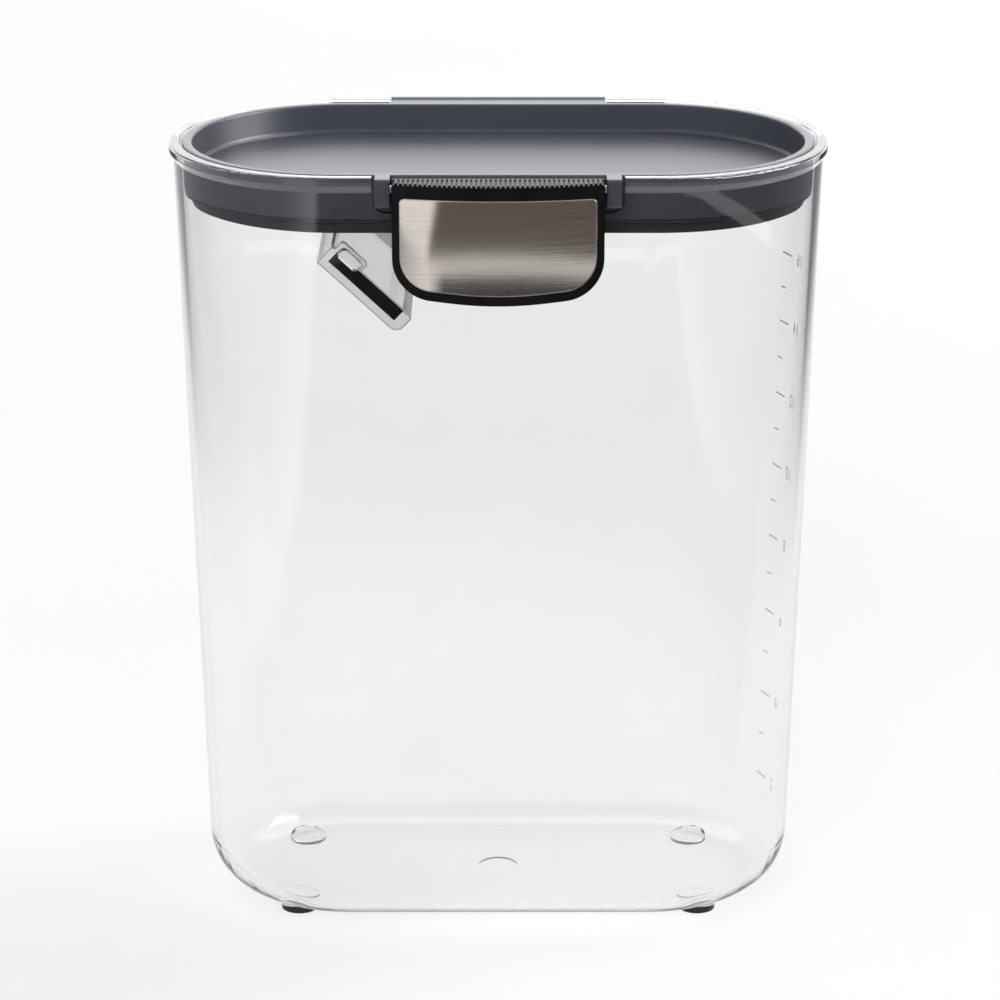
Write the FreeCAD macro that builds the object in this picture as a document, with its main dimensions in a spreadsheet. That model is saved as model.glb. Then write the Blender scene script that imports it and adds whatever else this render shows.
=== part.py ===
"""Flour container: a clear flat-sided bin with a hinged lid, a front latch and a levelling bar.

Millimetres. The origin is on the table under the middle of the container, the front faces -Y and +Z is up.
Every lid, seal and shell section is drawn once, at one end of the straight walls, and run round the plan.
"""
import FreeCAD, Part
import math
import os
from types import SimpleNamespace

import Sketcher
from FreeCAD import Vector

SIZES = {
    # Clear container
    "height": 264.0,            # table to rim
    "rim_radius": 57.25,        # round end of the rim bead, half the depth
    "straight_half": 50.75,     # half the straight wall between the round ends
    "wall": 2.5,
    "wall_slope": 0.0262,       # the walls lean out by this much per millimetre of height
    "floor_thickness": 3.0,
    "base_round": 18.5,         # outer radius between wall and floor
    "bead_out": 1.4,
    "bead_height": 2.6,
    "bead_blend": 2.4,          # height of the slope under the bead
    "rim_round": 0.8,
    "foot_height": 1.4,
    "foot_radius": 6.4,
    "foot_past": 17.4,          # foot centre past the straight wall
    "foot_inset": 22.2,         # and inside the foot of the wall
    "gate_radius": 6.75,        # moulding gate mark under the floor
    "gate_depth": 0.6,
    # Lid
    "lid_gap": 0.55,            # lid to container wall
    "lid_ring": 3.1,            # width of the lid's top edge
    "lid_recess": 9.5,
    "recess_lean": 1.3,         # the recess narrows by this much down to the panel
    "panel": 2.2,
    "skirt_hang": 2.5,          # panel underside to the skirt's lower edge
    "skirt_wall": 2.4,
    "lid_round": 0.9,
    "recess_round": 1.6,
    # Lid liner and seal
    "liner_gap": 0.1,
    "liner_hang": 5.3,          # skirt's lower edge to the liner's underside
    "liner_wall": 1.8,
    "liner_flange": 1.6,
    "liner_bead": 1.2,
    "bead_rise": 0.6,
    "seal_band": 2.5,           # room for the seal between liner and skirt
    "seal_gap": 0.05,
    "seal_lip": 0.9,            # thickness of the sealing lip
    "seal_lip_gap": 0.3,        # lip to the skirt above it
    "seal_clearance": 0.8,      # lip to the container wall, drawn unsqueezed
    # Rear hinge
    "hinge_out": 6.25,          # rim to hinge axis, outwards
    "hinge_drop": 3.2,          # and down
    "knuckle_radius": 2.8,
    "knuckle_half": 36.8,
    "hinge_side_gap": 0.5,
    "bracket_width": 20.5,
    "arm_thickness": 4.4,
    "hinge_notch_gap": 1.0,
    "pin_radius": 1.25,
    "pin_clearance": 0.05,
    "pin_inset": 0.4,           # pin ends stand inside their bores
    # Front latch
    "latch_out": 3.8,           # lid edge to latch axis
    "barrel_gap": 0.5,          # lid edge to the latch's barrel
    "latch_half": 33.3,
    "latch_top_drop": 0.7,      # lid top to the foot of the ribs
    "latch_height": 38.6,
    "latch_reach": 11.2,        # depth of the latch at its middle
    "latch_bulge": 4.5,         # how far the middle stands out from the ends
    "latch_back_gap": 0.45,     # latch back to the container wall under the notch
    "latch_skin": 2.2,
    "latch_corner": 13.0,
    "latch_bow": 0.0875,        # rise of the lower edge for each mm from its middle
    "latch_bow_round": 160.0,
    "latch_web": 7.5,           # solid depth under the barrel
    "rib_count": 43,
    "rib_margin": 0.93,         # last rib to the latch's end
    "rib_width": 0.9,
    "rib_height": 0.5,
    "plate_thickness": 0.8,
    "plate_gap": 0.1,
    "plate_border": 2.3,
    "plate_head": 4.2,          # plate to the latch's top edge
    "plate_foot": 3.0,          # and to its lower edge
    "plate_top_corner": 1.8,
    "ear_gap": 0.7,
    "ear_width": 4.7,
    "ear_clear": 2.4,           # ear above the floor of the front notch
    "ear_front": 2.6,           # ear in front of the latch axis
    "notch_gap": 1.1,           # lid ear to the side of the front notch
    "notch_depth": 11.6,
    "notch_round": 4.5,
    "hook_rise": 11.0,          # latch's lower edge to the top of its hook
    "catch_height": 3.0,
    "catch_out": 1.5,
    "catch_half": 20.0,
    "catch_gap": 0.3,
    "hook_height": 2.8,
    # Levelling bar
    "bar_past": 6.65,           # bar's upper left corner past the straight wall
    "bar_drop": 28.4,           # and below the rim
    "bar_slope": 43.3,          # degrees
    "bar_width": 34.5,
    "bar_web": 2.6,
    "bar_edge": 7.2,            # height of both flanges, web included
    "bar_flange": 2.3,
    "bar_edge_flange": 3.5,
    "bar_round": 3.2,
    "bar_tip_round": 0.8,
    "bar_end_gap": 0.5,
    "bar_end_wall": 2.0,
    "tab_wall": 1.0,            # tab round the lug's slot
    "lug_u": 7.0,               # lug centre along the bar's section
    "lug_w": 7.7,               # and above it
    "lug_length": 7.9,
    "lug_thickness": 3.4,
    "lug_round": 1.2,
    "lug_clearance": 0.3,
    "lug_past": 0.8,            # lug end past the bar's end wall
}

OVERRUN = 10.0                  # cutters run past the faces they cut by this much


class Length:
    """A size now, with the sheet expression that keeps it bound."""

    def __init__(self, value, text):
        self.value = value
        self.text = text

    def join(self, sign, other, value):
        return Length(value, f"({self.text} {sign} {words(other)})")

    def __add__(self, other):
        return self.join("+", other, self.value + number(other))

    def __sub__(self, other):
        return self.join("-", other, self.value - number(other))

    def __mul__(self, other):
        return self.join("*", other, self.value * number(other))

    def __truediv__(self, other):
        return self.join("/", other, self.value / number(other))

    def __neg__(self):
        return Length(-self.value, f"(-1 * {self.text})")


def number(size):
    return size.value if isinstance(size, Length) else float(size)


def words(size):
    return size.text if isinstance(size, Length) else repr(float(size))


def bind(item, name, size):
    """Ties one property to the sheet."""
    item.setExpression(name, words(size))


# The document and its sheet of driving dimensions
doc = FreeCAD.newDocument("flour_container")
sheet = doc.addObject("Spreadsheet::Sheet", "Sizes")
for row, (alias, size) in enumerate(SIZES.items(), start=1):
    sheet.set(f"A{row}", alias)
    sheet.set(f"B{row}", str(size))
    sheet.setAlias(f"B{row}", alias)
doc.recompute()
dim = SimpleNamespace(**{alias: Length(float(sheet.get(alias)), f"Sizes.{alias}") for alias in SIZES})


# Sketches

def new_sketch(body, name, plane, offset):
    """A sketch on one of the body's own origin planes, moved along that plane's normal."""
    sketch = body.newObject("Sketcher::SketchObject", name)
    support = [item for item in body.Origin.OriginFeatures if item.Role == plane][0]
    sketch.AttachmentSupport = [(support, "")]
    sketch.MapMode = "FlatFace"
    bind(sketch, "AttachmentOffset.Base.z", offset)
    return sketch


def fix_point(sketch, shape, end, x, y):
    """Holds a point at its place; a bare zero puts it on the axis."""
    for kind, axis, size in (("DistanceX", -2, x), ("DistanceY", -1, y)):
        if isinstance(size, Length):
            index = sketch.addConstraint(Sketcher.Constraint(kind, -1, 1, shape, end, size.value))
            bind(sketch, f"Constraints[{index}]", size)
        else:
            sketch.addConstraint(Sketcher.Constraint("PointOnObject", shape, end, axis))


def corner_arc(before, corner, after, radius):
    """The arc that rounds a corner, where it starts and ends, and whether it turns left."""
    back = (before - corner).normalize()
    ahead = (after - corner).normalize()
    half = back.getAngle(ahead) / 2
    start = corner + back * (radius / math.tan(half))
    finish = corner + ahead * (radius / math.tan(half))
    centre = corner + (back + ahead).normalize() * (radius / math.sin(half))
    left = back.cross(ahead).z < 0
    first, last = (start, finish) if left else (finish, start)
    angles = [math.atan2(point.y - centre.y, point.x - centre.x) for point in (first, last)]
    if angles[1] < angles[0]:
        angles[1] += 2 * math.pi
    arc = Part.ArcOfCircle(Part.Circle(centre, Vector(0, 0, 1), radius), angles[0], angles[1])
    return arc, start, finish, left


def draw_outline(sketch, corners):
    """A closed outline of straight lines; a corner with a third size is rounded to that radius."""
    count = len(corners)
    points = [Vector(number(corner[0]), number(corner[1]), 0) for corner in corners]
    arcs = {}
    for i, corner in enumerate(corners):
        if len(corner) == 3:
            arcs[i] = corner_arc(points[i - 1], points[i], points[(i + 1) % count], number(corner[2]))
    lines = []
    for i in range(count):
        following = (i + 1) % count
        start = arcs[i][2] if i in arcs else points[i]
        finish = arcs[following][1] if following in arcs else points[following]
        lines.append(sketch.addGeometry(Part.LineSegment(start, finish)))
    for i, corner in enumerate(corners):
        before, after = lines[i - 1], lines[i]
        if i not in arcs:
            sketch.addConstraint(Sketcher.Constraint("Coincident", before, 2, after, 1))
            fix_point(sketch, after, 1, corner[0], corner[1])
            continue
        arc = sketch.addGeometry(arcs[i][0])
        enter, leave = (1, 2) if arcs[i][3] else (2, 1)
        sketch.addConstraint(Sketcher.Constraint("Tangent", before, 2, arc, enter))
        sketch.addConstraint(Sketcher.Constraint("Tangent", arc, leave, after, 1))
        tip = sketch.addGeometry(Part.Point(points[i]), True)
        sketch.addConstraint(Sketcher.Constraint("PointOnObject", tip, 1, before))
        sketch.addConstraint(Sketcher.Constraint("PointOnObject", tip, 1, after))
        fix_point(sketch, tip, 1, corner[0], corner[1])
        index = sketch.addConstraint(Sketcher.Constraint("Radius", arc, number(corner[2])))
        bind(sketch, f"Constraints[{index}]", corner[2])


# Solids

def prism(name, plane, low, high, *outlines):
    """A body padded from one outline, between two places along the plane's axis."""
    body = doc.addObject("PartDesign::Body", name)
    offset = -high if plane == "XZ_Plane" else low
    sketch = new_sketch(body, name + "_outline", plane, offset)
    for outline in outlines:
        draw_outline(sketch, outline)
    pad = body.newObject("PartDesign::Pad", name + "_pad")
    pad.Profile = sketch
    bind(pad, "Length", high - low)
    return body


def stadium(name, section):
    """A body with one wall section run round the plan: two straight sides and two round ends."""
    body = doc.addObject("PartDesign::Body", name)
    planes = {item.Role: item for item in body.Origin.OriginFeatures}
    sketch = new_sketch(body, name + "_section", "YZ_Plane", dim.straight_half)
    draw_outline(sketch, section)
    side = body.newObject("PartDesign::Pad", name + "_side")
    side.Profile = sketch
    side.Reversed = True
    bind(side, "Length", dim.straight_half * 2)
    end = body.newObject("PartDesign::Revolution", name + "_end")
    end.Profile = sketch
    end.ReferenceAxis = (sketch, ["V_Axis"])
    end.Angle = 180
    end.Reversed = True
    for label, original, plane in (("_other_end", end, "YZ_Plane"), ("_other_side", side, "XZ_Plane")):
        doc.recompute()
        mirrored = body.newObject("PartDesign::Mirrored", name + label)
        mirrored.Originals = [original]
        mirrored.MirrorPlane = (planes[plane], [""])
        body.Tip = mirrored
    return body


def rod(name, radius, low, high, y, z):
    """A cylinder along X."""
    cylinder = doc.addObject("Part::Cylinder", name)
    bind(cylinder, "Radius", radius)
    bind(cylinder, "Height", high - low)
    cylinder.Placement = FreeCAD.Placement(Vector(), FreeCAD.Rotation(Vector(0, 1, 0), 90))
    bind(cylinder, "Placement.Base.x", low)
    bind(cylinder, "Placement.Base.y", y)
    bind(cylinder, "Placement.Base.z", z)
    return cylinder


def post(name, radius, x, y, low, high):
    """An upright cylinder."""
    cylinder = doc.addObject("Part::Cylinder", name)
    bind(cylinder, "Radius", radius)
    bind(cylinder, "Height", high - low)
    bind(cylinder, "Placement.Base.x", x)
    bind(cylinder, "Placement.Base.y", y)
    bind(cylinder, "Placement.Base.z", low)
    return cylinder


def fuse(name, *shapes):
    fused = doc.addObject("Part::MultiFuse", name)
    fused.Shapes = list(shapes)
    fused.Refine = True
    return fused


def cut(name, base, tool):
    result = doc.addObject("Part::Cut", name)
    result.Base = base
    result.Tool = tool
    result.Refine = True
    return result


def common(name, first, second):
    result = doc.addObject("Part::MultiCommon", name)
    result.Shapes = [first, second]
    result.Refine = True
    return result


def box_outline(left, low, right, high, *rounds):
    """A rectangle, with the radii of its corners from lower left, counter-clockwise."""
    corners = [(left, low), (right, low), (right, high), (left, high)]
    return [corner + (size,) for corner, size in zip(corners, rounds)] if rounds else corners


# Shared places
wall_top = dim.rim_radius - dim.bead_out
inner_top = wall_top - dim.wall
lid_radius = inner_top - dim.lid_gap
hinge_y = dim.rim_radius + dim.hinge_out
hinge_z = dim.height - dim.hinge_drop
latch_top = dim.height - dim.latch_top_drop
latch_low = latch_top - dim.latch_height
latch_barrel = dim.latch_out - dim.barrel_gap
latch_y = lid_radius + dim.latch_out
latch_z = latch_top + dim.rib_height - latch_barrel
notch_low = dim.height - dim.notch_depth
hook_top = latch_low + dim.hook_rise
catch_low = hook_top + dim.catch_gap
catch_top = catch_low + dim.catch_height


def leaned(radius, drop):
    """A radius at the rim, followed down the leaning wall."""
    return radius - dim.wall_slope * drop


base_radius = leaned(wall_top, dim.height - dim.foot_height)
catch_crest = leaned(wall_top, dim.height - catch_top) + dim.catch_out


# Container

def container_outside():
    bead_foot = dim.bead_height + dim.bead_blend
    return stadium("container_outside", [
        (0, dim.foot_height),
        (base_radius, dim.foot_height, dim.base_round),
        (leaned(wall_top, bead_foot), dim.height - bead_foot),
        (dim.rim_radius, dim.height - dim.bead_height, dim.rim_round),
        (dim.rim_radius, dim.height, dim.rim_round),
        (0, dim.height),
    ])


def container_cavity():
    floor_top = dim.foot_height + dim.floor_thickness
    mouth = dim.height + dim.rim_round
    flare = inner_top + dim.rim_round
    return stadium("container_cavity", [
        (0, floor_top),
        (leaned(inner_top, dim.height - floor_top), floor_top, dim.base_round - dim.wall),
        (leaned(inner_top, dim.rim_round), dim.height - dim.rim_round),
        (flare, mouth),
        (0, mouth),
    ])


def hinge_brackets():
    low = dim.knuckle_half + dim.hinge_side_gap
    high = low + dim.bracket_width
    root = inner_top + dim.wall / 4
    half = dim.arm_thickness / 2
    pieces = []
    for side, start, finish in (("left", -high, -low), ("right", low, high)):
        web = box_outline(root, hinge_z - half, hinge_y, hinge_z + half)
        pieces.append(prism(f"bracket_web_{side}", "YZ_Plane", start, finish, web))
        pieces.append(rod(f"bracket_eye_{side}", dim.knuckle_radius, start, finish, hinge_y, hinge_z))
    return pieces


def feet():
    along = dim.straight_half + dim.foot_past
    across = base_radius - dim.foot_inset
    return [
        post(f"foot_{end}_{side}", dim.foot_radius, x, y, 0, dim.base_round / 2)
        for end, x in (("left", -along), ("right", along))
        for side, y in (("front", -across), ("rear", across))
    ]


def catch_rib():
    root = leaned(wall_top, dim.height - catch_low) - dim.wall / 4
    ramp = dim.catch_height / 3
    outline = [
        (-catch_crest, catch_low),
        (-root, catch_low - ramp),
        (-root, catch_top + ramp),
        (-catch_crest, catch_top),
    ]
    return prism("catch_rib", "YZ_Plane", -dim.catch_half, dim.catch_half, outline)


def rim_notches():
    front_half = dim.latch_half + dim.ear_gap + dim.ear_width + dim.notch_gap
    rear_half = dim.knuckle_half + dim.hinge_side_gap
    rear_low = hinge_z - dim.arm_thickness / 2 - dim.hinge_notch_gap
    top = dim.height + OVERRUN
    inside = inner_top - OVERRUN
    outside = dim.rim_radius + OVERRUN
    notch = [
        (-front_half, notch_low, dim.notch_round),
        (front_half, notch_low, dim.notch_round),
        (front_half, top),
        (-front_half, top),
    ]
    return [
        prism("front_notch", "XZ_Plane", -outside, -inside, notch),
        prism("rear_notch", "XZ_Plane", inside, outside, box_outline(-rear_half, rear_low, rear_half, top)),
    ]


def container_body():
    solid = fuse("container_solid", container_outside(), catch_rib(), *hinge_brackets(), *feet())
    reach = dim.knuckle_half + dim.hinge_side_gap + dim.bracket_width + OVERRUN
    bore = rod("bracket_bore", dim.pin_radius + dim.pin_clearance, -reach, reach, hinge_y, hinge_z)
    gate_top = dim.foot_height + dim.gate_depth
    gate = post("gate_mark", dim.gate_radius, 0, 0, dim.foot_height - dim.gate_depth, gate_top)
    hollow = fuse("container_hollow", container_cavity(), bore, gate, *rim_notches())
    shell = cut("container_shell", solid, hollow)
    return fuse("container_body", shell, *leveler_lugs())


# Levelling bar, drawn along its own slope and then tilted into place

bar_half = leaned(inner_top, dim.bar_drop + dim.bar_width) - dim.bar_end_gap


def tilt(body):
    body.Placement = FreeCAD.Placement(Vector(), FreeCAD.Rotation(Vector(0, 1, 0), dim.bar_slope.value))
    bind(body, "Placement.Base.x", -(dim.straight_half + dim.bar_past))
    bind(body, "Placement.Base.z", dim.height - dim.bar_drop)
    bind(body, "Placement.Rotation.Angle", dim.bar_slope)
    return body


def lug_outline(grow):
    half_length = dim.lug_length / 2 + grow
    half_thickness = dim.lug_thickness / 2 + grow
    radius = dim.lug_round + grow
    return box_outline(
        dim.lug_u - half_length, dim.lug_w - half_thickness,
        dim.lug_u + half_length, dim.lug_w + half_thickness,
        radius, radius, radius, radius,
    )


def leveler_lugs():
    tip = bar_half - dim.bar_end_wall - dim.lug_past
    root = leaned(inner_top, dim.bar_drop) + dim.wall / 2
    outline = lug_outline(0)
    return [
        tilt(prism("lug_front", "XZ_Plane", -root, -tip, outline)),
        tilt(prism("lug_rear", "XZ_Plane", tip, root, outline)),
    ]


def leveler_bar():
    channel = [
        (0, 0),
        (dim.bar_width, 0, dim.bar_round),
        (dim.bar_width, dim.bar_edge, dim.bar_tip_round),
        (dim.bar_width - dim.bar_edge_flange, dim.bar_edge, dim.bar_tip_round),
        (dim.bar_width - dim.bar_edge_flange, dim.bar_web),
        (dim.bar_flange, dim.bar_web),
        (dim.bar_flange, dim.bar_edge, dim.bar_tip_round),
        (0, dim.bar_edge, dim.bar_tip_round),
    ]
    tab_right = dim.lug_u + dim.lug_length / 2 + dim.lug_clearance + dim.tab_wall
    tab_top = dim.lug_w + dim.lug_thickness / 2 + dim.lug_clearance + dim.tab_wall
    end_wall = [
        (dim.bar_flange / 2, dim.bar_web / 2),
        (dim.bar_width - dim.bar_edge_flange / 2, dim.bar_web / 2),
        (dim.bar_width - dim.bar_edge_flange / 2, dim.bar_edge),
        (tab_right, dim.bar_edge),
        (tab_right, tab_top, dim.lug_round),
        (dim.bar_flange / 2, tab_top, dim.lug_round),
    ]
    slot = lug_outline(dim.lug_clearance)
    inner = bar_half - dim.bar_end_wall
    pieces = [prism("bar_channel", "XZ_Plane", -bar_half, bar_half, channel)]
    for side, low, high in (("front", -bar_half, -inner), ("rear", inner, bar_half)):
        pieces.append(prism(f"bar_end_{side}", "XZ_Plane", low, high, end_wall, slot))
    return tilt(fuse("leveler_bar", *pieces))


# Lid

panel_top = dim.height - dim.lid_recess
panel_low = panel_top - dim.panel
skirt_low = panel_low - dim.skirt_hang
skirt_outer = leaned(lid_radius, dim.height - skirt_low)
skirt_inner = skirt_outer - dim.skirt_wall
liner_low = skirt_low - dim.liner_hang
liner_outer = skirt_inner - dim.liner_gap
liner_radius = liner_outer - dim.seal_band


def lid_top():
    recess = lid_radius - dim.lid_ring
    tray = stadium("lid_tray", [
        (0, panel_low),
        (skirt_inner, panel_low),
        (skirt_inner, skirt_low),
        (skirt_outer, skirt_low),
        (lid_radius, dim.height, dim.lid_round),
        (recess, dim.height, dim.lid_round),
        (recess - dim.recess_lean, panel_top, dim.recess_round),
        (0, panel_top),
    ])
    half = dim.arm_thickness / 2
    root = lid_radius - dim.lid_ring / 2
    arm = box_outline(root, hinge_z - half, hinge_y, hinge_z + half)
    ear_low = notch_low + dim.ear_clear
    ear = [
        (-(latch_y + dim.ear_front), ear_low, dim.lid_round),
        (-root, ear_low),
        (-root, dim.height),
        (-(latch_y + dim.ear_front), dim.height, dim.lid_round),
    ]
    ear_start = dim.latch_half + dim.ear_gap
    ear_end = ear_start + dim.ear_width
    reach = ear_end + OVERRUN
    solid = fuse(
        "lid_solid", tray,
        prism("knuckle_arm", "YZ_Plane", -dim.knuckle_half, dim.knuckle_half, arm),
        rod("knuckle_eye", dim.knuckle_radius, -dim.knuckle_half, dim.knuckle_half, hinge_y, hinge_z),
        prism("ear_left", "YZ_Plane", -ear_end, -ear_start, ear),
        prism("ear_right", "YZ_Plane", ear_start, ear_end, ear),
    )
    bore = dim.pin_radius + dim.pin_clearance
    bores = fuse(
        "lid_bores",
        rod("knuckle_bore", bore, -reach, reach, hinge_y, hinge_z),
        rod("ear_bore", bore, -reach, reach, -latch_y, latch_z),
    )
    return cut("lid_top", solid, bores)


def lid_liner():
    flange_low = panel_low - dim.liner_flange
    bead_top = liner_low + dim.bead_rise
    inner = liner_radius - dim.liner_wall
    return stadium("lid_liner", [
        (0, liner_low),
        (liner_radius + dim.liner_bead, liner_low),
        (liner_radius + dim.liner_bead, bead_top),
        (liner_radius, bead_top),
        (liner_radius, flange_low),
        (liner_outer, flange_low),
        (liner_outer, panel_low),
        (inner, panel_low),
        (inner, liner_low + dim.liner_wall),
        (0, liner_low + dim.liner_wall),
    ])


def lid_gasket():
    inner = liner_radius + dim.seal_gap
    top = panel_low - dim.liner_flange
    low = liner_low + dim.bead_rise
    lip_top = skirt_low - dim.seal_lip_gap
    lip_low = lip_top - dim.seal_lip
    tip = leaned(inner_top, dim.height - lip_low) - dim.seal_clearance
    return stadium("lid_gasket", [
        (inner, low),
        (liner_outer, low),
        (liner_outer, lip_low - dim.seal_lip),
        (tip, lip_low),
        (tip, lip_top),
        (liner_outer, lip_top),
        (liner_outer, top),
        (inner, top),
    ])


def lid_hinge_pin():
    half = dim.knuckle_half + dim.hinge_side_gap + dim.bracket_width - dim.pin_inset
    return rod("lid_hinge_pin", dim.pin_radius, -half, half, hinge_y, hinge_z)


def latch_hinge_pin():
    half = dim.latch_half + dim.ear_gap + dim.ear_width - dim.pin_inset
    return rod("latch_hinge_pin", dim.pin_radius, -half, half, -latch_y, latch_z)


# Latch: its front is part of an upright cylinder, trimmed to the outline seen from the front

latch_back = -(leaned(wall_top, dim.notch_depth) + dim.latch_back_gap)
latch_front = latch_back - dim.latch_reach
bulge_radius = (dim.latch_half * dim.latch_half + dim.latch_bulge * dim.latch_bulge) / (dim.latch_bulge * 2)
plate_top = latch_top - dim.plate_head
plate_low = latch_low + dim.plate_foot
plate_half = dim.latch_half - dim.plate_border
plate_corner = dim.latch_corner - dim.plate_border


def bulge(name, inset):
    """The upright cylinder that the latch's front follows, set back by an inset."""
    centre = latch_front + bulge_radius
    radius = bulge_radius - inset
    return post(name, radius, 0, centre, latch_low - OVERRUN, latch_top + OVERRUN)


def shield(low, half, top, corner, top_corner):
    """The latch's front outline: a bowed lower edge, large lower corners and small upper ones."""
    corner_low = low + half * dim.latch_bow
    return [
        (-half, corner_low, corner), (0, low, dim.latch_bow_round), (half, corner_low, corner),
        (half, top, top_corner), (-half, top, top_corner),
    ]


def plate_cutter(name, grow, depth):
    """A curved slab of the plate's outline, as deep as given, behind the latch's front."""
    outline = shield(
        plate_low - grow, plate_half + grow, plate_top + grow,
        plate_corner + grow, dim.plate_top_corner + grow,
    )
    slab = prism(name + "_slab", "XZ_Plane", latch_front - OVERRUN, latch_back, outline)
    return cut(name, slab, bulge(name + "_core", depth))


def latch_ribs():
    """Raised ribs across the latch's top edge, cut to its front by the same cylinder."""
    body = doc.addObject("PartDesign::Body", "latch_ribs")
    sketch = new_sketch(body, "rib_outline", "XZ_Plane", latch_y)
    first = -(dim.latch_half - dim.rib_margin)
    draw_outline(sketch, box_outline(first, latch_top - dim.rib_height, first + dim.rib_width,
                                     latch_top + dim.rib_height))
    rib = body.newObject("PartDesign::Pad", "rib")
    rib.Profile = sketch
    bind(rib, "Length", dim.latch_reach + OVERRUN)
    row = body.newObject("PartDesign::LinearPattern", "rib_row")
    row.Originals = [rib]
    row.Direction = (sketch, ["H_Axis"])
    bind(row, "Length", (dim.latch_half - dim.rib_margin) * 2 - dim.rib_width)
    bind(row, "Occurrences", dim.rib_count)
    body.Tip = row
    return common("latch_ribs_trimmed", body, bulge("latch_ribs_front", dim.rib_height))


def latch_frame():
    outside = prism("latch_block", "XZ_Plane", latch_front - OVERRUN, latch_back,
                    shield(latch_low, dim.latch_half, latch_top, dim.latch_corner, dim.lid_round))
    skin = common("latch_outside", outside, bulge("latch_front", 0))
    inner_corner = dim.latch_corner - dim.latch_skin
    cavity_outline = shield(
        latch_low + dim.latch_skin, dim.latch_half - dim.latch_skin, latch_top - dim.latch_web,
        inner_corner, dim.lid_round,
    )
    cavity_block = prism("latch_cavity_block", "XZ_Plane", latch_front, latch_back + OVERRUN, cavity_outline)
    depth = dim.latch_skin + dim.plate_thickness
    cavity = common("latch_cavity", cavity_block, bulge("latch_cavity_front", depth))
    recess = plate_cutter("plate_recess", dim.plate_gap, dim.plate_thickness + dim.plate_gap)
    hollow = cut("latch_shell", skin, fuse("latch_hollow", cavity, recess))
    hook_tip = -(catch_crest + dim.catch_gap)
    hook_block = prism("hook_block", "YZ_Plane", -dim.catch_half, dim.catch_half,
                       box_outline(latch_front, hook_top - dim.hook_height, hook_tip, hook_top))
    hook = common("latch_hook", hook_block, bulge("hook_front", depth - dim.latch_skin / 2))
    barrel = rod("latch_barrel", latch_barrel, -dim.latch_half, dim.latch_half, -latch_y, latch_z)
    solid = fuse("latch_solid", hollow, barrel, hook, latch_ribs())
    reach = dim.latch_half + OVERRUN
    bore = rod("latch_bore", dim.pin_radius + dim.pin_clearance, -reach, reach, -latch_y, latch_z)
    return cut("latch_frame", solid, bore)


def latch_plate():
    slab = plate_cutter("plate_slab", 0, dim.plate_thickness)
    return common("latch_plate", slab, bulge("plate_front", dim.plate_gap))


PIECES = [
    container_body(), leveler_bar(), lid_hinge_pin(),
    lid_top(), lid_liner(), lid_gasket(), latch_hinge_pin(),
    latch_frame(), latch_plate(),
]
doc.recompute()

# Nothing is written unless the whole document is sound
for item in doc.Objects:
    if "Invalid" in item.State or "Error" in item.State:
        raise RuntimeError(f"{item.Label} did not build: {item.State}")
for piece in PIECES:
    shape = piece.Shape
    if shape.isNull() or not shape.isValid() or len(shape.Solids) != 1:
        raise RuntimeError(f"{piece.Label} is not one valid solid")

os.makedirs("parts", exist_ok=True)
for piece in PIECES:
    piece.Shape.exportStep(f"parts/{piece.Label}.step")
    print(f"{piece.Label}: {piece.Shape.Volume / 1000:.2f} cubic centimetres")
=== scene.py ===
"""Looks for the flour container: clear plastic walls, slate lid, black latch with a brushed plate."""

import math

import bmesh
import bpy
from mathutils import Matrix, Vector


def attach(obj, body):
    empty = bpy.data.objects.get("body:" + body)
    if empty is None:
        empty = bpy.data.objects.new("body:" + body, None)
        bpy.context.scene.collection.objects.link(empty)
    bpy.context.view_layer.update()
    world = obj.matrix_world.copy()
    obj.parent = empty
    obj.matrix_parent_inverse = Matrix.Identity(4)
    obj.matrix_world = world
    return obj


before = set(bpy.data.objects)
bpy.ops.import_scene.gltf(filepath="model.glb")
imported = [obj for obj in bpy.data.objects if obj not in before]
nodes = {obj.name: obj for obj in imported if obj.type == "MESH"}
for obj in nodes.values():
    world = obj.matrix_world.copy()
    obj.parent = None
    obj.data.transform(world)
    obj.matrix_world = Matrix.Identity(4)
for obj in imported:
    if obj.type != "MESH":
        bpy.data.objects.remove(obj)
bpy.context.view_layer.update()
scene = bpy.context.scene

MM = 0.001
WHITE = (1.0, 1.0, 1.0)


# Shader helpers

# Between a surface's own normal and its rounded one: away from an edge, and on one
FLAT_COSINE = 0.995
EDGE_COSINE = 0.9


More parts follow.
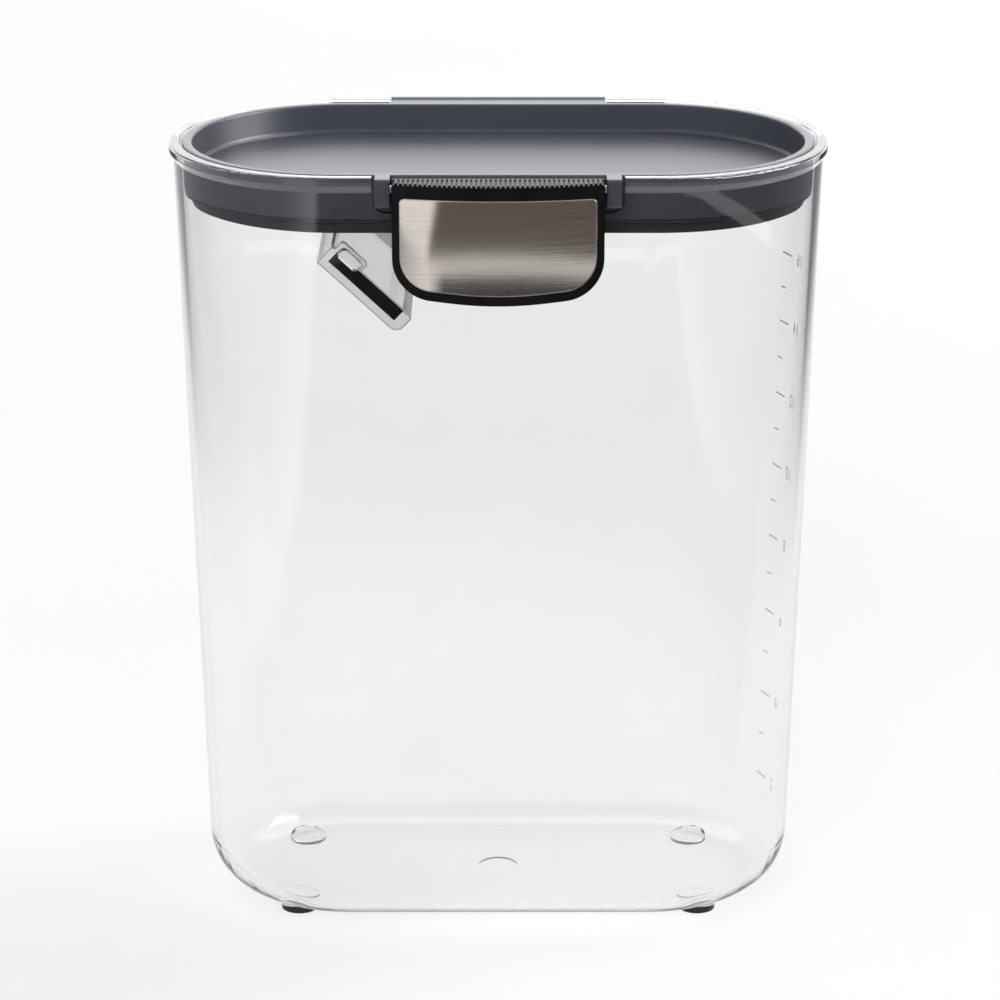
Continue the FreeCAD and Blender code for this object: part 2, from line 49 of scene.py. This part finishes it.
class NodeKit:
    """A node tree whose nodes are added one call at a time."""

    def __init__(self, tree):
        self.tree = tree

    def node(self, kind, **settings):
        made = self.tree.nodes.new(kind)
        for name, value in settings.items():
            setattr(made, name, value)
        return made

    def put(self, value, socket):
        """Links an output to an input, or sets the input to a plain value."""
        if isinstance(value, bpy.types.NodeSocket):
            self.tree.links.new(value, socket)
        else:
            socket.default_value = value

    def feed(self, node, **inputs):
        """Sets or links a node's inputs, named with spaces as underscores."""
        for name, value in inputs.items():
            self.put(value, node.inputs[name.replace("_", " ")])
        return node

    def ramp(self, value, *stops):
        ramp = self.node("ShaderNodeValToRGB")
        elements = ramp.color_ramp.elements
        for element, (position, colour) in zip(elements, stops):
            element.position = position
            element.color = (*colour, 1.0)
        self.put(value, ramp.inputs["Fac"])
        return ramp.outputs["Color"]

    def math(self, operation, first, second=0.0):
        made = self.node("ShaderNodeMath", operation=operation)
        self.put(first, made.inputs[0])
        self.put(second, made.inputs[1])
        return made.outputs["Value"]

    def axes(self, vector):
        """The x, y and z of a vector."""
        split = self.feed(self.node("ShaderNodeSeparateXYZ"), Vector=vector)
        return [split.outputs[axis] for axis in "XYZ"]

    def mix(self, factor, first, second):
        """One shader where the factor is nothing, and the other where it is one."""
        made = self.feed(self.node("ShaderNodeMixShader"), Fac=factor)
        self.put(first, made.inputs[1])
        self.put(second, made.inputs[2])
        return made.outputs["Shader"]

    def seen_by(self, *rays):
        """One for these kinds of ray, up to the first matte surface on their way."""
        path = self.node("ShaderNodeLightPath").outputs
        seen = path[rays[0]]
        for ray in rays[1:]:
            seen = self.math("MAXIMUM", seen, path[ray])
        return self.math("MULTIPLY", seen, self.math("LESS_THAN", path["Diffuse Depth"], 0.5))


class Paint(NodeKit):
    """A material, which starts as one Principled shader."""

    def __init__(self, name):
        self.material = bpy.data.materials.new(name)
        self.material.use_nodes = True
        super().__init__(self.material.node_tree)
        self.shader = self.tree.nodes["Principled BSDF"]
        self.output = self.tree.nodes["Material Output"]

    def surface(self, **inputs):
        self.feed(self.shader, **inputs)

    def show(self, shader):
        """Puts another shader in place of the Principled one."""
        self.put(shader, self.output.inputs["Surface"])
        self.tree.nodes.remove(self.shader)

    def place(self, scale=(1.0, 1.0, 1.0)):
        """The row frame's coordinates in metres, stretched by a scale for each axis."""
        where = self.node("ShaderNodeTexCoord").outputs["Object"]
        return self.feed(self.node("ShaderNodeMapping"), Vector=where, Scale=scale).outputs["Vector"]

    def noise(self, where, scale, detail=3.0, roughness=0.5):
        texture = self.node("ShaderNodeTexNoise")
        self.feed(texture, Vector=where, Scale=scale, Detail=detail, Roughness=roughness)
        return texture.outputs["Fac"]

    def spread(self, value, low, high):
        """A value from 0 to 1, mapped to a range."""
        mapped = self.feed(self.node("ShaderNodeMapRange"), Value=value, To_Min=low, To_Max=high)
        return mapped.outputs["Result"]

    def rise(self, value, start, length):
        """Nothing up to a start, and smoothly one a length further on."""
        eased = self.node("ShaderNodeMapRange", interpolation_type="SMOOTHSTEP")
        self.feed(eased, Value=value, From_Min=start, From_Max=start + length)
        return eased.outputs["Result"]

    def band(self, value, limits):
        """One between two limits, and nothing outside them."""
        low, high = limits
        above = self.math("GREATER_THAN", value, low)
        return self.math("MULTIPLY", above, self.math("LESS_THAN", value, high))

    def rounded(self, radius):
        """The normal with sharp edges softened over a radius."""
        return self.feed(self.node("ShaderNodeBevel"), Radius=radius).outputs["Normal"]

    def edge(self, radius):
        """One along sharp edges, falling to nothing a radius away from them."""
        turned = self.node("ShaderNodeVectorMath", operation="DOT_PRODUCT")
        self.put(self.rounded(radius), turned.inputs[0])
        self.put(self.node("ShaderNodeNewGeometry").outputs["Normal"], turned.inputs[1])
        away = self.feed(self.node("ShaderNodeMapRange"), Value=turned.outputs["Value"],
                         From_Min=FLAT_COSINE, From_Max=EDGE_COSINE)
        return away.outputs["Result"]

    def bump(self, height, strength, distance, normal):
        made = self.node("ShaderNodeBump")
        self.feed(made, Height=height, Strength=strength, Distance=distance, Normal=normal)
        self.surface(Normal=made.outputs["Normal"])

    def blend(self, factor, first, second):
        """One colour where the factor is nothing, and the other where it is one."""
        made = self.node("ShaderNodeMix", data_type="RGBA")
        self.put(factor, made.inputs["Factor"])
        self.put(first, made.inputs[6])
        self.put((*second, 1.0), made.inputs[7])
        return made.outputs[2]

    def cast_lightly(self):
        """Lets most light through each face, where refraction would cast a block's shadow."""
        through = self.feed(self.node("ShaderNodeBsdfTransparent"), Color=PASSED_LIGHT)
        shadow = self.node("ShaderNodeLightPath").outputs["Is Shadow Ray"]
        mixed = self.mix(shadow, self.shader.outputs["BSDF"], through.outputs["BSDF"])
        self.put(mixed, self.output.inputs["Surface"])


# Finishes

PASSED_LIGHT = (0.94, 0.94, 0.94, 1.0)
FOOT_HEIGHT = 1.6 * MM
SOFT_EDGE = 0.4 * MM
PLATE_EDGE = 0.7 * MM

# The leveler's section: where its upper corner lies, how it leans, and the part of its end faces that is
# painted dark as shade
LEVELER_CORNER = (-57.4 * MM, 0.0, 235.6 * MM)
LEVELER_SLOPE = math.radians(43.3)
LEVELER_DARK_LENGTH = (2.4 * MM, 30.8 * MM)
LEVELER_DARK_HEIGHT = (2.7 * MM, 7.1 * MM)
LEVELER_END = 49.0 * MM
LEVELER_OUTLINE = 0.9 * MM


def clear_plastic():
    """Water-clear, a little grey, with painted shade on the feet's sides, near black where they meet the
    table.
    """
    paint = Paint("clear_plastic")
    where = paint.place()
    haze = paint.noise(where, 60.0)
    height = paint.axes(where)[2]
    # Painted shade: the feet's sides are painted near black where they meet the table, fading to clear
    # over the foot's height.
    upright = paint.axes(paint.node("ShaderNodeNewGeometry").outputs["Normal"])[2]
    side = paint.math("LESS_THAN", paint.math("ABSOLUTE", upright), 0.5)
    lowness = paint.feed(paint.node("ShaderNodeMapRange"), Value=height,
                         From_Max=FOOT_HEIGHT, To_Min=1.0, To_Max=0.0)
    painted_foot_shade = paint.math("MULTIPLY", side, lowness.outputs["Result"])
    pale = paint.ramp(haze, (0.3, (0.985, 0.987, 0.99)), (0.7, (0.995, 0.996, 0.998)))
    paint.surface(
        Base_Color=paint.blend(painted_foot_shade, pale, (0.02, 0.02, 0.025)),
        Transmission_Weight=1.0,
        IOR=1.45,
        Roughness=paint.spread(haze, 0.0, 0.02),
    )
    depth = paint.node("ShaderNodeVolumeAbsorption")
    paint.feed(depth, Color=(0.88, 0.884, 0.89, 1.0), Density=100.0)
    paint.put(depth.outputs["Volume"], paint.output.inputs["Volume"])
    paint.cast_lightly()
    return paint.material


def leveler_plastic():
    """Clear plastic, a little milky, with painted shade and highlight on the end faces between the
    channel's edges: near black inside, dark lines along their edges, and an opaque pale border that shows
    white.
    """
    paint = Paint("leveler_plastic")
    where = paint.node("ShaderNodeTexCoord").outputs["Object"]
    moved = paint.feed(paint.node("ShaderNodeMapping", vector_type="TEXTURE"), Vector=where,
                       Location=LEVELER_CORNER, Rotation=(0.0, LEVELER_SLOPE, 0.0))
    along, across, above = paint.axes(moved.outputs["Vector"])
    # Painted shade: the end faces are painted near black inside, between the channel's edges.
    inside = paint.band(along, LEVELER_DARK_LENGTH)
    inside = paint.math("MULTIPLY", inside, paint.band(above, LEVELER_DARK_HEIGHT))
    ends = paint.math("GREATER_THAN", paint.math("ABSOLUTE", across), LEVELER_END)
    inside = paint.math("MULTIPLY", inside, ends)
    border = paint.math("SUBTRACT", ends, inside)
    haze = paint.noise(where, 60.0)
    pale = paint.ramp(haze, (0.3, (0.955, 0.962, 0.968)), (0.7, (0.975, 0.98, 0.985)))
    # Painted shade: a dark line along the end faces' edges.
    outline = paint.math("MULTIPLY", ends, paint.edge(LEVELER_OUTLINE))
    pale = paint.blend(outline, pale, (0.02, 0.02, 0.022))
    paint.surface(
        Base_Color=paint.blend(inside, pale, (0.008, 0.008, 0.009)),
        # Painted highlight: the border is made opaque, so its pale colour shows white.
        Transmission_Weight=paint.spread(border, 0.8, 0.0),
        IOR=1.42,
        Roughness=paint.spread(haze, 0.01, 0.03),
    )
    paint.cast_lightly()
    return paint.material


def mark_grey():
    """The pale grey of the volume marks."""
    paint = Paint("scale_marks")
    cloud = paint.noise(paint.place(), 300.0)
    paint.surface(
        Base_Color=paint.ramp(cloud, (0.3, (0.58, 0.58, 0.60)), (0.7, (0.70, 0.70, 0.72))),
        Roughness=paint.spread(cloud, 0.35, 0.5),
    )
    return paint.material


def lid_plastic():
    """Slate, satin, with a fine grain."""
    paint = Paint("lid_plastic")
    where = paint.place()
    grain = paint.noise(where, 2600.0, 2.0)
    cloud = paint.noise(where, 22.0)
    paint.surface(
        Base_Color=paint.ramp(cloud, (0.3, (0.036, 0.041, 0.052)), (0.7, (0.044, 0.049, 0.062))),
        Roughness=paint.spread(cloud, 0.34, 0.41),
        Specular_IOR_Level=0.6,
    )
    paint.bump(grain, 0.06, 0.2 * MM, paint.rounded(SOFT_EDGE))
    return paint.material


def seal_rubber():
    """Dark and matte."""
    paint = Paint("seal")
    cloud = paint.noise(paint.place(), 120.0)
    paint.surface(
        Base_Color=paint.ramp(cloud, (0.3, (0.014, 0.015, 0.018)), (0.7, (0.020, 0.021, 0.024))),
        Roughness=paint.spread(cloud, 0.5, 0.6),
    )
    return paint.material


def latch_plastic():
    """Black, with little shine."""
    paint = Paint("latch_plastic")
    cloud = paint.noise(paint.place(), 90.0)
    paint.surface(
        Base_Color=paint.ramp(cloud, (0.3, (0.005, 0.005, 0.005)), (0.7, (0.008, 0.008, 0.008))),
        Roughness=paint.spread(cloud, 0.3, 0.38),
        Specular_IOR_Level=0.06,
        Normal=paint.rounded(SOFT_EDGE),
    )
    return paint.material


def brushed_plate():
    """Steel brushed from side to side, with a painted highlight along its edges, where the steel is paler
    and rougher.
    """
    paint = Paint("plate_steel")
    brush = paint.noise(paint.place((14.0, 60.0, 2600.0)), 1.0, 4.0, 0.6)
    # Painted highlight: along the edges the steel is paler and rougher, so they show bright from every
    # side.
    edge = paint.edge(PLATE_EDGE)
    steel = paint.ramp(brush, (0.25, (0.47, 0.435, 0.40)), (0.75, (0.60, 0.56, 0.525)))
    paint.surface(
        Base_Color=paint.blend(edge, steel, (0.96, 0.95, 0.93)),
        Metallic=1.0,
        Roughness=paint.math("ADD", paint.spread(brush, 0.035, 0.075), paint.spread(edge, 0.0, 0.4)),
    )
    paint.bump(brush, 0.012, 0.1 * MM, paint.rounded(PLATE_EDGE))
    return paint.material


def drawn_wire():
    """Steel with streaks along its length."""
    paint = Paint("pin_steel")
    streak = paint.noise(paint.place((60.0, 1500.0, 1500.0)), 1.0)
    paint.surface(
        Base_Color=paint.ramp(streak, (0.3, (0.5, 0.5, 0.51)), (0.7, (0.62, 0.62, 0.63))),
        Metallic=1.0,
        Roughness=paint.spread(streak, 0.25, 0.4),
    )
    return paint.material


lid_grey = lid_plastic()
steel_wire = drawn_wire()
FINISHES = {
    "container_body": clear_plastic(),
    "leveler_bar": leveler_plastic(),
    "lid_hinge_pin": steel_wire,
    "lid_top": lid_grey,
    "lid_liner": lid_grey,
    "lid_gasket": seal_rubber(),
    "latch_hinge_pin": steel_wire,
    "latch_frame": latch_plastic(),
    "latch_plate": brushed_plate(),
}
for name, finish in FINISHES.items():
    nodes[name].material_slots[0].material = finish


# Volume marks, moulded on the outside of the right end

RIM_HEIGHT = 264.0 * MM
END_CENTRE = 50.75 * MM
WALL_TOP = 55.85 * MM
WALL_SLOPE = 0.0262
MARK_HEIGHTS = [29.0, 59.6, 90.4, 117.8, 143.7, 169.3, 194.8, 218.7]
MARK_HALF_THICKNESS = 0.06 * MM

# Lengths and widths, and angles from straight right towards the rear
TICK_SIZE = (7.0 * MM, 0.55 * MM)
TICK_ANGLE = 25.0
SHORT_TICK_SIZE = (3.5 * MM, 0.45 * MM)
SHORT_TICK_ANGLE = 27.0
NUMBER_SIZE = 6.5 * MM
NUMBER_ANGLE = 13.0


def wall_radius(z):
    """The right end's outer radius at a height."""
    return WALL_TOP - WALL_SLOPE * (RIM_HEIGHT - z)


def wall_point(angle, z, proud):
    """A point on the right end's outer wall, at an angle from straight right towards the rear."""
    radius = wall_radius(z) + proud
    return (END_CENTRE + radius * math.cos(angle), radius * math.sin(angle), z)


def wrap(mesh, angle, z):
    """Bends a flat drawing on to the wall: across it is x, up it is y and out of it is z."""
    radius = wall_radius(z)
    for vertex in mesh.vertices:
        x, y, out = vertex.co
        vertex.co = wall_point(angle + x / radius, z + y, out)


def digits(value):
    """A flat drawing of a plain number, centred, a little thick."""
    curve = bpy.data.curves.new(f"digits_{value}", "FONT")
    curve.body = str(value)
    curve.size = NUMBER_SIZE
    curve.align_x = "CENTER"
    curve.align_y = "CENTER"
    curve.extrude = MARK_HALF_THICKNESS
    drawn = bpy.data.objects.new(curve.name, curve)
    scene.collection.objects.link(drawn)
    bpy.context.view_layer.update()
    mesh = bpy.data.meshes.new_from_object(drawn.evaluated_get(bpy.context.evaluated_depsgraph_get()))
    bpy.data.objects.remove(drawn)
    return mesh


def stroke(size):
    """A flat bar with rounded ends, a little thick."""
    length, width = size
    shape = bmesh.new()
    half = length / 2 - width / 2
    rounds = 6
    outline = []
    for end, start in ((half, -90), (-half, 90)):
        for step in range(rounds + 1):
            angle = math.radians(start + 180 * step / rounds)
            x = end + width / 2 * math.cos(angle)
            outline.append((x, width / 2 * math.sin(angle), -MARK_HALF_THICKNESS))
    face = shape.faces.new([shape.verts.new(point) for point in outline])
    raised = bmesh.ops.extrude_face_region(shape, geom=[face])
    top = [item for item in raised["geom"] if isinstance(item, bmesh.types.BMVert)]
    bmesh.ops.translate(shape, verts=top, vec=(0.0, 0.0, 2 * MARK_HALF_THICKNESS))
    mesh = bpy.data.meshes.new("stroke")
    shape.to_mesh(mesh)
    shape.free()
    return mesh


def scale_marks():
    """Ticks with plain numbers, and a short tick halfway between each pair."""
    joined = bmesh.new()

    def add(drawing, angle, z):
        wrap(drawing, math.radians(angle), z)
        joined.from_mesh(drawing)
        bpy.data.meshes.remove(drawing)

    for i, height in enumerate(MARK_HEIGHTS):
        z = height * MM
        add(stroke(TICK_SIZE), TICK_ANGLE, z)
        add(digits(2 * (i + 1)), NUMBER_ANGLE, z)
        if i > 0:
            add(stroke(SHORT_TICK_SIZE), SHORT_TICK_ANGLE, (z + MARK_HEIGHTS[i - 1] * MM) / 2)
    mesh = bpy.data.meshes.new("scale_marks")
    joined.to_mesh(mesh)
    joined.free()
    mesh.materials.append(mark_grey())
    marks = bpy.data.objects.new("scale_marks", mesh)
    scene.collection.objects.link(marks)
    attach(marks, "container")


scale_marks()


# Studio

# The floor under the latch's plate, and the distances from it between which the plate meets white floor
PLATE_FOOT = (0.0, -0.065, 0.0)
PLATE_GAP = (0.868, 0.906)
FAR_OFF = 9.0


def sheet(name, corners, material):
    """A flat four-cornered sheet that belongs to the studio."""
    mesh = bpy.data.meshes.new(name)
    shape = bmesh.new()
    shape.faces.new([shape.verts.new(corner) for corner in corners])
    shape.to_mesh(mesh)
    shape.free()
    mesh.materials.append(material)
    made = bpy.data.objects.new(name, mesh)
    scene.collection.objects.link(made)
    return made


def level(name, x_span, y_span, z, material):
    """A sheet that lies flat."""
    (left, right), (front, rear) = x_span, y_span
    return sheet(name, [(left, front, z), (right, front, z), (right, rear, z), (left, rear, z)], material)


def floor_white():
    """Plain white to the camera, in gloss and through the clear walls, with the shadow kept."""
    paint = Paint("floor_white")
    where = paint.place()
    cloud = paint.noise(where, 3.0)
    shade = paint.ramp(cloud, (0.3, (0.39, 0.39, 0.39)), (0.7, (0.41, 0.41, 0.41)))
    matte = paint.feed(paint.node("ShaderNodeBsdfDiffuse"), Color=shade).outputs["BSDF"]
    away = paint.node("ShaderNodeVectorMath", operation="LENGTH")
    paint.put(where, away.inputs[0])
    lift = paint.feed(paint.node("ShaderNodeMapRange"), Value=away.outputs["Value"],
                      From_Min=0.3, From_Max=1.8, To_Min=0.55, To_Max=0.68)
    glow = paint.feed(paint.node("ShaderNodeEmission"), Strength=lift.outputs["Result"])
    lifted = paint.node("ShaderNodeAddShader")
    paint.put(matte, lifted.inputs[0])
    paint.put(glow.outputs["Emission"], lifted.inputs[1])
    seen = paint.seen_by("Is Camera Ray", "Is Glossy Ray", "Is Transmission Ray")
    paint.show(paint.mix(seen, matte, lifted.outputs["Shader"]))
    return paint.material


def card_paint(name):
    """A material for a card, which reflections show and which lights nothing else."""
    paint = Paint(name)
    paint.material.cycles.emission_sampling = "NONE"
    return paint


def hide(card):
    """Leaves a card to reflections and to what clear plastic shows."""
    card.visible_camera = False
    card.visible_diffuse = False
    card.visible_shadow = False


def gloss_card(name, corners, strength, through=False):
    """A lit card for gloss, which clear plastic shows too if it is let through."""
    paint = card_paint(name)
    cloud = paint.noise(paint.place(), 2.0)
    glow = paint.node("ShaderNodeEmission")
    paint.feed(glow, Color=paint.ramp(cloud, (0.3, (0.92, 0.92, 0.92)), (0.7, WHITE)), Strength=strength)
    paint.show(glow.outputs["Emission"])
    card = sheet(name, corners, paint.material)
    hide(card)
    card.visible_transmission = through


def floor_flag(name, x_span, y_span, colour, fade, z=0.5 * MM, ring=(0.0, FAR_OFF), ease=0.004):
    """A dark card laid flat on the floor, that only reflections show.

    It fades in over a length at its left and right, and lies in a ring round the plate,
    where it eases in over another length.
    """
    left, right = x_span
    nearest, furthest = ring
    paint = card_paint(name)
    where = paint.place()
    across = paint.axes(where)[0]
    inside = paint.math("MINIMUM", paint.math("SUBTRACT", across, left),
                        paint.math("SUBTRACT", right, across))
    away = paint.node("ShaderNodeVectorMath", operation="DISTANCE")
    paint.put(where, away.inputs[0])
    paint.put(PLATE_FOOT, away.inputs[1])
    distance = away.outputs["Value"]
    soft = paint.math("MULTIPLY", paint.rise(inside, 0.0, fade), paint.rise(distance, nearest, ease))
    soft = paint.math("MULTIPLY", soft, paint.math("LESS_THAN", distance, furthest))
    reflected = paint.math("MINIMUM", paint.node("ShaderNodeLightPath").outputs["Glossy Depth"], 1.0)
    nothing = paint.node("ShaderNodeBsdfTransparent").outputs["BSDF"]
    glow = paint.feed(paint.node("ShaderNodeEmission"), Color=(*colour, 1.0)).outputs["Emission"]
    paint.show(paint.mix(paint.math("MULTIPLY", soft, reflected), nothing, glow))
    hide(level(name, x_span, y_span, z, paint.material))


def studio_world():
    """Soft grey all round, brighter above, with a white backdrop for the camera and clear plastic."""
    world = bpy.data.worlds.new("studio")
    scene.world = world
    world.use_nodes = True
    kit = NodeKit(world.node_tree)
    height = kit.axes(kit.node("ShaderNodeTexCoord").outputs["Generated"])[2]
    sky = kit.ramp(height, (0.0, (0.36, 0.36, 0.37)), (0.8, (0.62, 0.62, 0.62)))
    light = kit.feed(kit.tree.nodes["Background"], Color=sky).outputs["Background"]
    white = kit.feed(kit.node("ShaderNodeBackground"), Color=(0.95, 0.95, 0.95, 1.0))
    seen = kit.seen_by("Is Camera Ray", "Is Transmission Ray")
    kit.feed(kit.tree.nodes["World Output"], Surface=kit.mix(seen, light, white.outputs["Background"]))


def lamp(name, place, target, side, power):
    """A square lamp that faces a target."""
    data = bpy.data.lights.new(name, "AREA")
    data.shape = "SQUARE"
    data.size = side
    data.energy = power
    made = bpy.data.objects.new(name, data)
    made.location = place
    made.rotation_euler = (Vector(target) - Vector(place)).to_track_quat("-Z", "Y").to_euler()
    scene.collection.objects.link(made)
    return made


def photo_camera():
    """The camera fitted to the photo's rim, walls and base."""
    data = bpy.data.cameras.new("camera")
    data.lens = 128.4
    data.sensor_width = 36.0
    data.shift_x = 0.0018
    data.clip_start = 0.05
    made = bpy.data.objects.new("camera", data)
    made.location = (0.0, -1.145, 0.528)
    made.rotation_euler = (math.radians(71.21), 0.0, 0.0)
    scene.collection.objects.link(made)
    scene.camera = made


level("floor", (-4.0, 4.0), (-4.0, 4.0), -0.3 * MM, floor_white())
studio_world()
lamp("key_light", place=(1.3, 0.6, 2.2), target=(0.0, 0.0, 0.1), side=0.8, power=25.0)
fill = lamp("fill_light", place=(-0.7, -1.9, 1.2), target=(0.0, 0.0, 0.15), side=1.2, power=30.0)
fill.visible_glossy = False
fill.visible_transmission = False
gloss_card(
    "rear_card",
    [(-1.6, 1.9, 0.02), (1.6, 1.9, 0.02), (1.6, 1.7, 1.3), (-1.6, 1.7, 1.3)],
    strength=2.9,
)
gloss_card(
    "top_card",
    [(-1.2, 1.5, 1.3), (1.2, 1.5, 1.3), (1.2, 0.6, 1.9), (-1.2, 0.6, 1.9)],
    strength=2.5,
    through=True,
)
gloss_card(
    "side_card",
    [(1.3, -0.6, 0.42), (1.3, 0.4, 0.42), (1.3, 0.4, 1.1), (1.3, -0.6, 1.1)],
    strength=16.0,
)
floor_flag(
    "far_flag",
    x_span=(-0.38, 3.0),
    y_span=(-3.0, -0.07),
    colour=(0.17, 0.152, 0.142),
    fade=0.05,
    ring=(PLATE_GAP[1], FAR_OFF),
)
floor_flag(
    "near_flag",
    x_span=(-0.33, 3.0),
    y_span=(-0.95, -0.07),
    colour=(0.07, 0.06, 0.06),
    fade=0.08,
    z=0.7 * MM,
    ring=(0.12, PLATE_GAP[0]),
    ease=0.35,
)
floor_flag("left_flag", x_span=(-3.0, -0.30), y_span=(-0.9, 1.2), colour=(0.30, 0.30, 0.31), fade=0.3)
floor_flag("right_flag", x_span=(0.25, 3.0), y_span=(-0.07, 1.2), colour=(0.20, 0.20, 0.21), fade=0.3)
photo_camera()
scene.view_settings.view_transform = "Standard"
